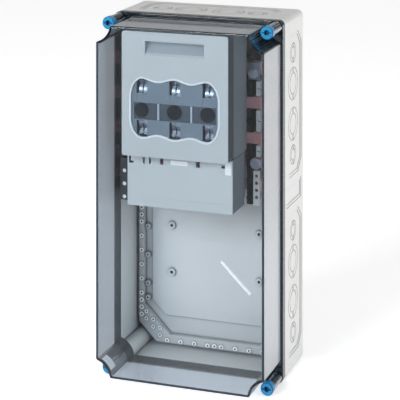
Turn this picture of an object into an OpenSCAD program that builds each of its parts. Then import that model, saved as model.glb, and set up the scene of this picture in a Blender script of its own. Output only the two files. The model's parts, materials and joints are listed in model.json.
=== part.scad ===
// Wall-mounted fuse box: a light grey insulated base with a deep clear lid,
// copper busbars on the back and a three-pole fuse switch in front of them.
// Distances called "depth" are measured from the wall towards the front.

/* [Enclosure] */
// overall width
box_w = 300; // [296:1:310]
// overall height
box_h = 600; // [594:1:620]
// depth of the base, wall to lid joint
base_d = 108; // [106:1:114]
// depth of the lid, joint to front face
lid_d = 106; // [104:1:130]
// wall thickness of the base
base_wall = 4; // [3:0.5:5]
// corner radius of base and lid flange, seen from the front
corner_r = 10; // [6:1:12]
// depth of the mounting ledge around the floor
ledge_depth = 30; // [28:1:34]
// depth of the lowered channel inside the ledge
channel_depth = 20; // [18:1:22]
// depth of the raised middle panel of the floor
panel_depth = 23; // [23:1:26]

/* [Lid] */
// wall thickness of the lid
lid_wall = 3; // [2.5:0.5:4]
// how far the lid walls stand in from the sides of the flange
lid_side_inset = 4; // [3:0.5:5]
// how far the lid walls stand in from the top and bottom of the flange
lid_end_inset = 8.5; // [7:0.5:10]
// thickness of the lid flange
flange_t = 14; // [12:0.5:16]
// radius of the hollow in each lid corner
notch_r = 32; // [30:0.5:33]

/* [Lid fasteners] */
// distance of each fastener axis from the side edge
fastener_inset = 11; // [11:0.5:13]
// radius of the blue head
head_r = 11; // [9:0.5:11]
// depth of the front of the head
head_front = 177; // [172:1:190]
// radius of the shaft
shaft_r = 5; // [4.5:0.5:5]
// half length of the locking lug
lug_reach = 8; // [7:0.5:8]

/* [Switch] */
// centre of the switch, sideways
switch_x = -15.5; // [-18:0.5:-12]
// width of the switch
switch_w = 185; // [180:1:187]
// top of the switch
switch_top = 281; // [276:1:281]
// height where the swing cover meets the terminal cover
switch_split = 74; // [72:1:76]
// bottom of the terminal cover
switch_bottom = -15; // [-25:1:-12]
// distance between neighbouring poles
pole_pitch = 58; // [56:0.5:58]
// depth of the front of the swing cover
cover_front = 190; // [188:1:192]
// depth of the front of the terminal cover
terminal_front = 165; // [163:1:165]
// height of the middle of the viewing window
window_z = 155; // [152:1:158]
// half width of the viewing window
window_half = 76.3; // [72:0.1:77]
// half height of the viewing window
window_reach = 48.8; // [44:0.1:50]

/* [Busbars] */
// height of the middle phase bar
bar_mid = 148; // [146:1:150]
// distance between neighbouring phase bars
bar_pitch = 60; // [58:1:60]
// height of each bar's section
bar_h = 20; // [15:1:20]
// thickness of each bar's section
bar_t = 10; // [5:1:10]
// depth of the back of the bars
bar_back = 52; // [50:1:54]
// length of the bars
bar_len = 256; // [250:1:262]

/* [Hidden] */
$fn = 48;
eps = 0.5;
half_w = box_w / 2;
half_h = box_h / 2;
front_d = base_d + lid_d;
joint_gap = 0.2;
lid_back = base_d + joint_gap;
fast_x = half_w - fastener_inset;
fast_z = half_h - fastener_inset;
corners = [[-1, 1], [1, 1], [-1, -1], [1, -1]];
// base
rim_t = 8;
rim_w = 7;
column_r = 16;
floor_back = 16;
ledge_x = half_w - 19;
ledge_z = half_h - 23;
ledge_cut = 48;
corner_cut = 44;
foot_t = 4;
fix_x = half_w - 20;
fix_z = half_h - 30;
fix_r = 3.5;
section_mid = half_h / 2 - 4;
dome_r = 4.2;
dome_inset = 15;
end_dome_inset = 13;
gutter_x = 7;
gutter_z = 5.5;
gutter_t = 8;
pilot_r = 1.7;
boss_x = 80;
boss_rows = [86, 168];
boss_r = 6;
boss_t = 5;
catch_t = 5;
catch_pocket_r = 9;
catch_pocket = 15;
slot_play = 0.4;
knock_large = 28;
knock_small = 17;
knock_near = 34;
knock_far = 86;
knock_depth = 56;
groove_w = 1.4;
groove_t = 0.8;
tab_long = 9;
tab_wide = 3.5;
panel_t = 0.7;
panel_x = 120;
panel_y = 46;
panel_cut = 20;
panel_step = 5;
ring_share = 0.66;
band_deep = 88;
band_h = 34;
// lid
lid_x = half_w - lid_side_inset;
lid_z = half_h - lid_end_inset;
notch_x = half_w + 3;
notch_z = half_h - 5;
sleeve_r = 10;
sleeve_end = head_front - 12;
sleeve_bore = 8;
sleeve_step = lid_back + 17;
run_gap = 0.1;
seal_w = 3;
seal_t = 2.5;
seal_edge = 2.5;
seal_arc = 11.5;
// fasteners
lug_w = 6;
lug_t = 5;
lug_front = base_d - catch_t - 0.5;
tip_r = 4;
// switch
sx0 = switch_x - switch_w / 2;
sx1 = switch_x + switch_w / 2;
poles = [for (k = [-1:1]) switch_x + k * pole_pitch];
cover_back = 160;
cover_wall = 3;
panel_front = cover_front - cover_wall - 0.1;
chassis_front = 158;
chassis_mid = 89;
chassis_rear = 66;
bay_w = 54;
bay_floor = 103;
rear_inset = 10;
pivot_depth = 174;
pivot_z = switch_split + 4;
pin_r = 2.5;
pin_gap = 0.05;
arm_w = 4;
slot_half = 9.5;
grip_w = 104;
grip_top = switch_top - 15;
grip_bottom = switch_top - 39;
grip_deep = 14;
wave = 3;
end_r = 22;
jaw_top_z = 189;
jaw_low_z = 99;
jaw_h = 26;
jaw_t = 2;
jaw_gap = 3.2;
jaw_front = 150;
jaw_root = 116;
tab_w = 25;
tab_t = 4;
tab_d = 104;
outlet_z = 22;
bars_z = [for (k = [1:-1:-1]) bar_mid + k * bar_pitch];
neutral_z = 46;
earth_z = 8;
bar_front = bar_back + bar_t;
support_w = 10;
support_right = 70;
support_left = -114;
support_top = bar_mid + bar_pitch + 28;
support_foot = -24;
support_front = 66;
clamp_x = 82.5;
neutral_clamp_x = 86.5;
clamp_z = bar_mid + bar_pitch - 9;

// ---------- helpers ----------

// lifts a front-view outline into a solid between two depths
module deep(from, to)
    translate([0, -from, 0])
        rotate([90, 0, 0])
            linear_extrude(height = to - from)
                children();

// round bar pointing at the viewer
module peg(x, z, r, from, to)
    translate([x, -from, z])
        rotate([90, 0, 0])
            cylinder(r = r, h = to - from);

// box given by its corners: sideways, depth and height ranges
module block(x0, x1, d0, d1, z0, z1)
    translate([x0, -d1, z0])
        cube([x1 - x0, d1 - d0, z1 - z0]);

// side-view outline (points are [-depth, height]) drawn out sideways
module sideways(x0, x1)
    translate([x0, 0, 0])
        rotate([90, 0, 90])
            linear_extrude(height = x1 - x0)
                children();

// round bar lying sideways
module rod(x0, x1, depth, z, r)
    translate([x0, -depth, z])
        rotate([0, 90, 0])
            cylinder(r = r, h = x1 - x0);

function arc(cx, cz, r, a0, a1, n) =
    [for (i = [0:n]) [cx + r * cos(a0 + (a1 - a0) * i / n),
                      cz + r * sin(a0 + (a1 - a0) * i / n)]];

function soft_box(hw, hh, r, n = 5) = concat(
    arc(hw - r, hh - r, r, 0, 90, n),
    arc(r - hw, hh - r, r, 90, 180, n),
    arc(r - hw, r - hh, r, 180, 270, n),
    arc(hw - r, r - hh, r, 270, 360, n));

function cut_box(hw, hh, c) = [
    [hw, hh - c], [hw - c, hh], [c - hw, hh], [-hw, hh - c],
    [-hw, c - hh], [c - hw, -hh], [hw - c, -hh], [hw, c - hh]];

// six-sided bolt head or nut pointing at the viewer
module hex(x, z, flats, from, to)
    translate([x, -from, z])
        rotate([90, 0, 0])
            cylinder(r = flats / 2 / cos(30), h = to - from, $fn = 6);

// ---------- base ----------

module base_walls() {
    difference() {
        deep(0, base_d)
            polygon(soft_box(half_w, half_h, corner_r));
        deep(-eps, base_d - rim_t)
            polygon(soft_box(half_w - base_wall, half_h - base_wall, corner_r - base_wall));
        deep(base_d - rim_t - eps, base_d + eps)
            polygon(soft_box(half_w - rim_w, half_h - rim_w, 4));
    }
}

// hollow corner pillar that carries the catch for one lid fastener
module corner_columns() {
    intersection() {
        deep(0, base_d)
            polygon(soft_box(half_w - eps, half_h - eps, corner_r - eps));
        for (c = corners)
            peg(c.x * fast_x, c.y * fast_z, column_r, 0, base_d);
    }
}

module base_floor() {
    reach_x = half_w - base_wall + eps;
    reach_z = half_h - base_wall + eps;
    difference() {
        deep(floor_back, ledge_depth)
            polygon(cut_box(reach_x, reach_z, corner_cut));
        deep(channel_depth, ledge_depth + eps)
            polygon(cut_box(ledge_x, ledge_z, ledge_cut));
        // gutter between the ledge and the walls
        difference() {
            deep(ledge_depth - gutter_t, ledge_depth + 2 * eps)
                polygon(cut_box(reach_x + eps, reach_z + eps, corner_cut - 2 * eps));
            deep(channel_depth, ledge_depth + 3 * eps)
                polygon(cut_box(reach_x - gutter_x, reach_z - gutter_z,
                                corner_cut - gutter_x - gutter_z - 1));
        }
    }
    deep(channel_depth - eps, panel_depth)
        polygon(cut_box(ledge_x - 14, ledge_z - 32, ledge_cut / 2));
    // slanting walls and feet that close the corner pockets
    difference() {
        deep(0, floor_back + eps)
            polygon(cut_box(reach_x, reach_z, corner_cut));
        deep(-eps, floor_back + 2 * eps)
            polygon(cut_box(reach_x + base_wall, reach_z + base_wall, corner_cut + 3 * base_wall));
    }
    difference() {
        deep(0, foot_t)
            polygon(soft_box(reach_x, reach_z, corner_r - base_wall));
        deep(-eps, foot_t + eps)
            polygon(cut_box(reach_x + eps, reach_z + eps, corner_cut));
    }
    // stiffening ribs behind the floor, which touch the wall
    for (x = [-half_w / 2, 0, half_w / 2])
        block(x - 2, x + 2, 0, floor_back + eps, -reach_z, reach_z);
    for (z = [-half_h / 2, 0, half_h / 2])
        block(-reach_x, reach_x, 0, floor_back + eps, z - 2, z + 2);
}

// screw positions down one side of one half of the ledge
function ledge_steps() = concat(
    [for (k = [0:3]) -100 + 12.5 * k],
    [for (k = [0:4]) -37.5 + 25 * k],
    [for (k = [0:1]) 75 + 12.5 * k]);
// screw positions of the inner row, on the channel
function channel_steps() = [-96, -71, -46, 4, 54];
// screw positions along the top and bottom ledge
function end_steps() = concat([-12.5, 0, 12.5], [for (k = [0:2], s = [-1, 1]) s * (37.5 + 25 * k)]);
// pairs of screw positions on each slanting corner of the ledge
function slant_steps() = [for (k = [0:2], row = [0, 12.5]) [126 - 12.7 * k, 253 + 13 * k - row]];

module ledge_domes() {
    for (sx = [-1, 1], sz = [-1, 1]) {
        for (s = ledge_steps())
            peg(sx * (half_w - dome_inset), sz * (section_mid - s), dome_r,
                ledge_depth - gutter_t - eps, ledge_depth + 1.5);
        for (s = channel_steps())
            peg(sx * (half_w - 25), sz * (section_mid - s), dome_r + 0.2, channel_depth - 1, ledge_depth - 2);
        for (p = slant_steps())
            peg(sx * p.x, sz * p.y, dome_r - 0.6, ledge_depth - gutter_t - eps, ledge_depth + 1.5);
        for (z = boss_rows)
            peg(sx * boss_x, sz * z, boss_r, panel_depth - 1, panel_depth + boss_t);
    }
    for (sz = [-1, 1], s = end_steps())
        peg(s, sz * (half_h - end_dome_inset), dome_r, ledge_depth - gutter_t - eps, ledge_depth + 1.5);
}

module pilot_holes() {
    for (sx = [-1, 1], sz = [-1, 1]) {
        for (s = ledge_steps())
            peg(sx * (half_w - dome_inset), sz * (section_mid - s), pilot_r, ledge_depth - 7, ledge_depth + 2);
        for (s = channel_steps())
            peg(sx * (half_w - 25), sz * (section_mid - s), pilot_r, channel_depth - 1, ledge_depth);
        for (p = slant_steps())
            peg(sx * p.x, sz * p.y, pilot_r, ledge_depth - 7, ledge_depth + 2);
        for (z = boss_rows)
            peg(sx * boss_x, sz * z, boss_r / 2, panel_depth - 1, panel_depth + boss_t + 1);
    }
    for (sz = [-1, 1], s = end_steps())
        peg(s, sz * (half_h - end_dome_inset), pilot_r, ledge_depth - 7, ledge_depth + 2);
}

// one knock-out: two grooves with bridging tabs; the recessed face looks along +Z here
module knock_ring(r) {
    depth = 2 * (2 * panel_t + groove_t);
    for (ring_r = [r, r * ring_share])
        difference() {
            cylinder(r = ring_r, h = depth, center = true);
            cylinder(r = ring_r - groove_w, h = depth + eps, center = true);
        }
    for (s = [-1, 1])
        translate([s * (r - tab_long / 2), 0, 0])
            cube([tab_long, tab_wide, depth], center = true);
}

// row of four knock-outs for one 300 mm section, along X and facing +Z
module knock_row() {
    for (s = [-1, 1]) {
        translate([s * knock_near, 0, 0])
            knock_ring(knock_large);
        translate([s * knock_far, 0, 0])
            knock_ring(knock_small);
    }
}

// shallow eight-sided recess in two steps around one row of knock-outs
module wall_panel() {
    linear_extrude(height = 2 * panel_t, center = true)
        polygon(cut_box(panel_x, panel_y, panel_cut));
    linear_extrude(height = 4 * panel_t, center = true)
        polygon(cut_box(panel_x - panel_step, panel_y - panel_step, panel_cut - panel_step / 3));
}

module wall_marks() {
    knock_row();
    wall_panel();
}

module base_marks() {
    for (sx = [-1, 1], sz = [-1, 1])
        translate([sx * half_w, -knock_depth, sz * half_h / 2])
            rotate([0, sx * 90, 0])
                wall_marks();
    for (sz = [-1, 1])
        translate([0, -knock_depth, sz * half_h])
            wall_marks();
}

// keyhole catches for the fasteners, and wall fixing holes
module base_openings() {
    for (c = corners) {
        x = c.x * fast_x;
        z = c.y * fast_z;
        peg(x, z, shaft_r + slot_play, base_d - catch_t - eps, base_d + eps);
        block(x - lug_reach - slot_play, x + lug_reach + slot_play,
              base_d - catch_t - eps, base_d + eps,
              z - lug_w / 2 - slot_play, z + lug_w / 2 + slot_play);
        peg(x, z, catch_pocket_r, base_d - catch_t - catch_pocket, base_d - catch_t);
        peg(x, z, catch_pocket_r - 1, -eps, base_d - catch_t - catch_pocket - 6);
        peg(c.x * fix_x, c.y * fix_z, fix_r, -eps, foot_t + eps);
    }
    // recessed band between the two sections of each long side
    for (sx = [-1, 1])
        translate([sx * half_w, -knock_depth, 0]) {
            cube([2 * panel_t, band_deep, band_h], center = true);
            cube([4 * panel_t, band_deep - 2 * panel_step, band_h - 2 * panel_step], center = true);
        }
}

module base_box() {
    color([0.86, 0.87, 0.86])
    difference() {
        union() {
            base_walls();
            corner_columns();
            base_floor();
            ledge_domes();
        }
        pilot_holes();
        base_openings();
        base_marks();
    }
}

// ---------- lid ----------

module lid_outer() {
    difference() {
        deep(lid_back, front_d)
            polygon(soft_box(lid_x, lid_z, 5));
        for (c = corners)
            peg(c.x * notch_x, c.y * notch_z, notch_r, lid_back - eps, front_d + eps);
    }
    deep(lid_back, base_d + flange_t)
        polygon(soft_box(half_w, half_h, corner_r));
}

module lid_cavity() {
    difference() {
        deep(lid_back - eps, front_d - lid_wall)
            polygon(soft_box(lid_x - lid_wall, lid_z - lid_wall, 3));
        for (c = corners)
            peg(c.x * notch_x, c.y * notch_z, notch_r + lid_wall, lid_back - 2 * eps, front_d);
    }
}

// ring that follows the rim and passes inside each fastener
module seal_shape(play) {
    out = seal_edge - play;
    inn = seal_edge + seal_w + play;
    difference() {
        polygon(soft_box(half_w - out, half_h - out, 6));
        for (c = corners)
            seal_corner(c, seal_arc - play);
        difference() {
            polygon(soft_box(half_w - inn, half_h - inn, 3));
            for (c = corners)
                seal_corner(c, seal_arc + seal_w + play);
        }
    }
}

module seal_corner(c, r) {
    translate([c.x * fast_x, c.y * fast_z]) {
        circle(r = r);
        scale([c.x, c.y])
            square([2 * corner_r, 2 * corner_r]);
    }
}

module lid() {
    color([0.62, 0.68, 0.73, 0.35])
    difference() {
        union() {
            lid_outer();
            for (c = corners)
                peg(c.x * fast_x, c.y * fast_z, sleeve_r, lid_back, sleeve_end);
        }
        lid_cavity();
        deep(lid_back - eps, lid_back + seal_t)
            seal_shape(0.1);
        for (c = corners) {
            peg(c.x * fast_x, c.y * fast_z, shaft_r + run_gap, lid_back - eps, sleeve_end + eps);
            peg(c.x * fast_x, c.y * fast_z, sleeve_bore, sleeve_step, sleeve_end + eps);
        }
    }
}

module lid_seal() {
    color([0.12, 0.13, 0.14])
    deep(base_d + 0.05, lid_back + seal_t - 0.05)
        seal_shape(0);
}

// ---------- fasteners ----------

module fastener(c) {
    x = c.x * fast_x;
    z = c.y * fast_z;
    color([0.10, 0.46, 0.74])
    difference() {
        union() {
            peg(x, z, head_r, sleeve_end + 0.5, head_front - 2);
            peg(x, z, head_r - 1.5, head_front - 3, head_front);
            peg(x, z, shaft_r, lug_front, sleeve_end + 1);
            peg(x, z, tip_r - run_gap, lug_front - lug_t - 1, lug_front + 1);
        }
        peg(x, z, 4.8, head_front - 8, head_front + eps);
        block(x - 8, x + 8, head_front - 2.5, head_front + eps, z - 1.2, z + 1.2);
    }
}

module lug(c) {
    x = c.x * fast_x;
    z = c.y * fast_z;
    color([0.35, 0.37, 0.40])
    difference() {
        intersection() {
            block(x - lug_reach, x + lug_reach, lug_front - lug_t, lug_front, z - lug_w / 2, z + lug_w / 2);
            peg(x, z, lug_reach, lug_front - lug_t - 1, lug_front + 1);
        }
        peg(x, z, tip_r, lug_front - lug_t - 1, lug_front + 1);
    }
}

module fastener_top_left() fastener(corners[0]);
module fastener_top_right() fastener(corners[1]);
module fastener_bottom_left() fastener(corners[2]);
module fastener_bottom_right() fastener(corners[3]);
module lug_top_left() lug(corners[0]);
module lug_top_right() lug(corners[1]);
module lug_bottom_left() lug(corners[2]);
module lug_bottom_right() lug(corners[3]);

// square-wire spring under each head
module fastener_springs() {
    span = 96;
    turns = 5;
    color([0.70, 0.71, 0.73])
    for (c = corners)
        translate([c.x * fast_x, -sleeve_step - 0.2, c.y * fast_z])
            rotate([90, 0, 0])
                linear_extrude(height = sleeve_end - sleeve_step - 0.4, twist = -360 * turns, slices = 45, $fn = 6)
                    polygon(concat(arc(0, 0, 7.4, 0, span, 2), arc(0, 0, 6, span, 0, 2)));
}

// ---------- busbars ----------

module bar(z, half_height = bar_h / 2) {
    color([0.72, 0.43, 0.32])
    difference() {
        block(-bar_len / 2, bar_len / 2, bar_back, bar_front, z - half_height, z + half_height);
        for (s = [-1, 1])
            peg(s * (bar_len / 2 - 10), z, 4.5, bar_back - eps, bar_front + eps);
    }
}

module busbar_l1() bar(bars_z[0]);
module busbar_l2() bar(bars_z[1]);
module busbar_l3() bar(bars_z[2]);
module neutral_bar() bar(neutral_z, 8);
module earth_bar() bar(earth_z, 8);

module support(x0) {
    color([0.09, 0.10, 0.11])
    difference() {
        union() {
            block(x0, x0 + support_w, panel_depth, support_front, support_foot, support_top);
            block(x0 - 3, x0 + support_w + 3, panel_depth, panel_depth + 4, support_foot, support_top);
        }
        for (z = bars_z)
            block(x0 - eps, x0 + support_w + eps, bar_back - 0.1, support_front + eps,
                  z - bar_h / 2 - 0.2, z + bar_h / 2 + 0.2);
        for (z = [neutral_z, earth_z])
            block(x0 - eps, x0 + support_w + eps, bar_back - 0.1, bar_front + 0.1, z - 8.2, z + 8.2);
        for (z = support_holes())
            peg(x0 + support_w / 2, z, 3, panel_depth - eps, support_front + eps);
        // room for the floor bosses under the support
        for (z = boss_rows)
            peg(boss_x, z, boss_r + 0.4, panel_depth - eps, panel_depth + boss_t + 0.4);
    }
}

function support_holes() = [support_top - 8, bar_mid + bar_pitch / 2, bar_mid - bar_pitch / 2, support_foot + 12];

module busbar_support_left() support(support_left);
module busbar_support_right() support(support_right);

// screws that hold the supports to the floor
module support_screws() {
    color([0.62, 0.64, 0.66])
    for (x = [support_left, support_right], z = support_holes()) {
        px = x + support_w / 2;
        peg(px, z, 2.6, panel_depth + 0.1, support_front + 0.2);
        difference() {
            peg(px, z, 5, support_front + 0.1, support_front + 3.5);
            block(px - 6, px + 6, support_front + 2.2, support_front + 4, z - 0.7, z + 0.7);
        }
    }
}

// pale insulating blocks between the bars at the right support
module support_inserts() {
    x0 = boss_x + boss_r + 0.6;
    color([0.90, 0.90, 0.88])
    for (r = insert_ranges())
        difference() {
            block(x0, x0 + 8, panel_depth + 0.2, support_front, r[0], r[1]);
            block(x0 + 2, x0 + 9, support_front - 10, support_front + eps,
                  (r[0] + r[1]) / 2 - 1, (r[0] + r[1]) / 2 + 1);
        }
}

// lower and upper end of each insulating block
function insert_ranges() = [
    [bars_z[1] + bar_h / 2 + 2, bars_z[0] - bar_h / 2 - 13],
    [bars_z[2] + bar_h / 2 + 2, bars_z[1] - bar_h / 2 - 2],
    [neutral_z + 11, bars_z[2] - bar_h / 2 - 2]];

// stepped clamp that takes a conductor on the first phase bar, and the seat of the neutral clamp
module feed_clamp() {
    color([0.55, 0.62, 0.70])
    difference() {
        union() {
            block(clamp_x - 8.5, clamp_x + 12, support_front + 0.2, support_front + 3.2,
                  bars_z[0] - 20, bars_z[0] + 9);
            block(support_right + support_w + 3.4, clamp_x + 12, bar_front + 0.1, support_front + 0.4,
                  bars_z[0] - 9, bars_z[0] + 9);
            block(support_right + support_w + 0.4, neutral_clamp_x + 10, bar_front + 0.1, support_front + 0.4,
                  neutral_z - 7.5, neutral_z + 7.5);
        }
        peg(clamp_x, clamp_z, 4.6, bar_front - eps, support_front + 5);
        peg(neutral_clamp_x, neutral_z, 4.6, bar_front - eps, support_front + 5);
    }
}

// where each bolt stands: sideways, height and depth of the face under it, then its washer's radius
function bolt_spots() = [
    [clamp_x, clamp_z, support_front + 3.3, 8.5],
    [neutral_clamp_x, neutral_z, support_front + 0.5, 10],
    [support_right + support_w + 30, earth_z, bar_front + 0.1, 7.5]];

module bar_washers() {
    color([0.76, 0.79, 0.82])
    for (b = bolt_spots())
        difference() {
            peg(b.x, b.y, b[3], b.z, b.z + 1.6);
            peg(b.x, b.y, 4.3, b.z - eps, b.z + 2);
        }
}

module bar_bolts() {
    color([0.66, 0.70, 0.76])
    for (b = bolt_spots()) {
        hex(b.x, b.y, 13, b.z + 1.7, b.z + 8);
        peg(b.x, b.y, 4, b.z - (b.z > support_front ? 3 : 0), b.z + 2);
    }
}

// pale terminal strip beside the lower end of the right support
module terminal_strip() {
    x0 = support_right + support_w + 3.2;
    color([0.88, 0.88, 0.86])
    difference() {
        block(x0, x0 + 11, bar_front + 0.2, bar_front + 9, support_foot, 34);
        for (k = [0:3])
            peg(x0 + 5.5, 26 - 12 * k, 3, bar_front + 4, bar_front + 10);
    }
}

module terminal_strip_screws() {
    x0 = support_right + support_w + 3.2;
    color([0.42, 0.25, 0.24])
    for (k = [0:3])
        difference() {
            peg(x0 + 5.5, 26 - 12 * k, 2.8, bar_front + 4.1, bar_front + 8);
            block(x0 + 1, x0 + 10, bar_front + 7, bar_front + 9, 25.6 - 12 * k, 26.4 - 12 * k);
        }
}

// ---------- switch, fixed parts ----------

module switch_chassis() {
    color([0.33, 0.36, 0.39])
    difference() {
        union() {
            block(sx0, sx1, chassis_mid, chassis_front, switch_split, switch_top - 2);
            block(sx0 + rear_inset, sx1 - rear_inset, chassis_rear, chassis_mid + eps, switch_split, switch_top - 6);
            block(sx0 + rear_inset, sx1 - rear_inset, chassis_rear, 100, -12, switch_split + eps);
            for (x = [sx0 + cover_wall + 0.5, sx1 - cover_wall - 0.5 - arm_w])
                block(x, x + arm_w, chassis_front - eps, pivot_depth + 5, pivot_z - 3.5, pivot_z + 7);
        }
        for (p = poles)
            block(p - bay_w / 2, p + bay_w / 2, bay_floor, chassis_front + eps,
                  switch_split + 6, switch_top - 8);
        block(sx0 + rear_inset + 4, sx1 - rear_inset - 4, chassis_rear - eps, bay_floor - 4,
              switch_split + 4, switch_top - 12);
        block(sx0 + rear_inset + 4, sx1 - rear_inset - 4, chassis_rear - eps, 96, -8, switch_split - 4);
        for (p = poles) {
            // slot for the feed bar and slot for the outlet bar
            block(p - 10.5, p + 10.5, bay_floor - 5, bay_floor + eps, jaw_top_z - 7, jaw_top_z + 7);
            block(p - tab_w / 2 - 0.5, p + tab_w / 2 + 0.5, tab_d - 0.9, tab_d + tab_t + 0.5,
                  switch_split - eps, switch_split + 7);
        }
        rod(sx0, sx1, pivot_depth, pivot_z, pin_r + pin_gap);
        for (sx = [-1, 1], z = screw_rows())
            peg(switch_x + sx * (switch_w / 2 - 3.6), z, 1.6, chassis_front - 12, chassis_front + eps);
    }
}

// heights of the screws on the front edge of the chassis
function screw_rows() = [switch_split + 22, switch_top - 16];

// thin insulating walls between the poles
module pole_partitions() {
    color([0.62, 0.68, 0.72])
    for (s = [-1, 1])
        block(switch_x + s * pole_pitch / 2 - 1, switch_x + s * pole_pitch / 2 + 1,
              chassis_front + 0.2, 178, switch_split + 30, switch_top - 46);
}

// pair of springy contact leaves that grip one end of a fuse
module jaw(p, z) {
    difference() {
        block(p - 13, p + 13, tab_d + tab_t + 0.1, jaw_root, z - jaw_h / 2, z + jaw_h / 2);
        peg(p, z, 4, tab_d, jaw_root + eps);
    }
    for (s = [-1, 1]) {
        sideways(p + s * (jaw_gap + jaw_t / 2) - jaw_t / 2, p + s * (jaw_gap + jaw_t / 2) + jaw_t / 2)
            polygon([[-jaw_root + 1, z - jaw_h / 2], [-jaw_root + 1, z + jaw_h / 2],
                     [-jaw_front + 7, z + jaw_h / 2], [-jaw_front, z + jaw_h / 2 - 6],
                     [-jaw_front, z - jaw_h / 2 + 6], [-jaw_front + 7, z - jaw_h / 2]]);
    }
}

module upper_jaws() {
    color([0.78, 0.76, 0.72])
    for (p = poles)
        jaw(p, jaw_top_z - 8);
}

module lower_jaws() {
    color([0.78, 0.76, 0.72])
    for (p = poles)
        jaw(p, jaw_low_z + 10);
}

// steel clips that press each pair of leaves together
module jaw_springs() {
    color([0.45, 0.47, 0.50])
    for (p = poles, z = [jaw_top_z - 8, jaw_low_z + 10]) {
        reach = jaw_gap + jaw_t + 0.1;
        for (s = [-1, 1])
            block(p + (s > 0 ? reach : -reach - 1.4), p + (s > 0 ? reach + 1.4 : -reach),
                  jaw_root + 4, jaw_front - 10, z - 6, z + 6);
        for (sz = [-1, 1])
            block(p - reach - 1.4, p + reach + 1.4, jaw_root + 14, jaw_root + 16,
                  z + (sz > 0 ? jaw_h / 2 + 0.2 : -jaw_h / 2 - 1.6), z + (sz > 0 ? jaw_h / 2 + 1.6 : -jaw_h / 2 - 0.2));
        for (s = [-1, 1], sz = [-1, 1])
            block(p + (s > 0 ? reach : -reach - 1.4), p + (s > 0 ? reach + 1.4 : -reach),
                  jaw_root + 14, jaw_root + 16,
                  z + (sz > 0 ? 5 : -jaw_h / 2 - 1.6), z + (sz > 0 ? jaw_h / 2 + 1.6 : -5));
    }
}

// stacks of thin plates that cool the arc above each upper jaw
module arc_plates() {
    color([0.55, 0.56, 0.58])
    for (p = poles, k = [0:6])
        difference() {
            block(p - 22, p + 22, bay_floor + 14, chassis_front - 10, 226 + 5.5 * k, 227.4 + 5.5 * k);
            block(p - 5, p + 5, chassis_front - 24, chassis_front - 9, 225 + 5.5 * k, 229 + 5.5 * k);
        }
}

// copper strips from the upper jaws back to their own busbar
module feed_bars() {
    color([0.72, 0.43, 0.32])
    for (i = [0:2]) {
        p = poles[i];
        z = bars_z[i];
        low = min(z - 8, jaw_top_z - 6);
        high = max(z + 8, jaw_top_z + 6);
        block(p - 10, p + 10, 90, 94, low, high);
        block(p - 10, p + 10, 90, tab_d + tab_t, jaw_top_z - 6, jaw_top_z + 6);
        block(p - 10, p + 10, bar_front + 0.1, 92, z - 8, z + 8);
    }
}

// hooks that hang each pole on its busbar
module busbar_claws() {
    color([0.58, 0.60, 0.63])
    for (i = [0:2]) {
        p = poles[i];
        z = bars_z[i] + bar_h / 2;
        sideways(p + 11, p + 19)
            polygon([[-bay_floor + 4.1, z + 0.2], [-bay_floor + 4.1, z + 4], [-bar_back + 4.2, z + 4],
                     [-bar_back + 4.2, z - 8], [-bar_back + 0.2, z - 8], [-bar_back + 0.2, z + 0.2]]);
    }
}

// copper tabs that carry the outgoing cables
module outlet_bars() {
    color([0.72, 0.43, 0.32])
    for (p = poles)
        difference() {
            block(p - tab_w / 2, p + tab_w / 2, tab_d, tab_d + tab_t, 2, jaw_low_z + 20);
            peg(p, outlet_z, 5.5, tab_d - eps, tab_d + tab_t + eps);
        }
}

module outlet_bolts() {
    color([0.66, 0.70, 0.76])
    for (p = poles) {
        hex(p, outlet_z, 16, tab_d + tab_t + 10.2, tab_d + tab_t + 17);
        peg(p, outlet_z, 5, tab_d - 3.5, tab_d + tab_t + 11);
    }
}

// washer stacks that clamp the cable lugs
module outlet_washers() {
    color([0.76, 0.79, 0.82])
    for (p = poles)
        difference() {
            peg(p, outlet_z, 10, tab_d + tab_t + 7, tab_d + tab_t + 10);
            peg(p, outlet_z, 5.2, tab_d + tab_t + 6, tab_d + tab_t + 11);
        }
}

// screws on the front edge of the chassis
module chassis_screws() {
    color([0.62, 0.64, 0.66])
    for (sx = [-1, 1], z = screw_rows())
        peg(switch_x + sx * (switch_w / 2 - 3.6), z, 1.5, chassis_front - 10, chassis_front + 1);
}

// small terminal block for the signal contact, left of the terminals
module signal_block() {
    color([0.16, 0.19, 0.22])
    difference() {
        block(sx0 - 19, sx0 - 0.5, chassis_mid + 6, 150, -16, 58);
        for (k = [0:2])
            peg(sx0 - 12, 37 - 22 * k, 3.4, 146, 151);
        block(sx0 - 20, sx0 - 5, 138, 151, -18, -12);
    }
}

module signal_screws() {
    color([0.82, 0.84, 0.86])
    for (k = [0:2])
        difference() {
            peg(sx0 - 12, 37 - 22 * k, 3.2, 146.1, 149.5);
            block(sx0 - 16, sx0 - 8, 148.6, 150, 36.5 - 22 * k, 37.5 - 22 * k);
        }
}

// bracket that ties the signal block to the chassis
module signal_bracket() {
    color([0.62, 0.64, 0.66])
    block(sx0 - 15, sx0 + rear_inset - 0.1, chassis_mid + 1, chassis_mid + 5.9, 4, 40);
}

module pivot_pins() {
    color([0.70, 0.71, 0.73])
    for (x = [sx0 + 0.2, sx1 - cover_wall - arm_w - 1.2])
        rod(x, x + cover_wall + arm_w + 1, pivot_depth, pivot_z, pin_r);
}

// ---------- switch, swing cover ----------

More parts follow.
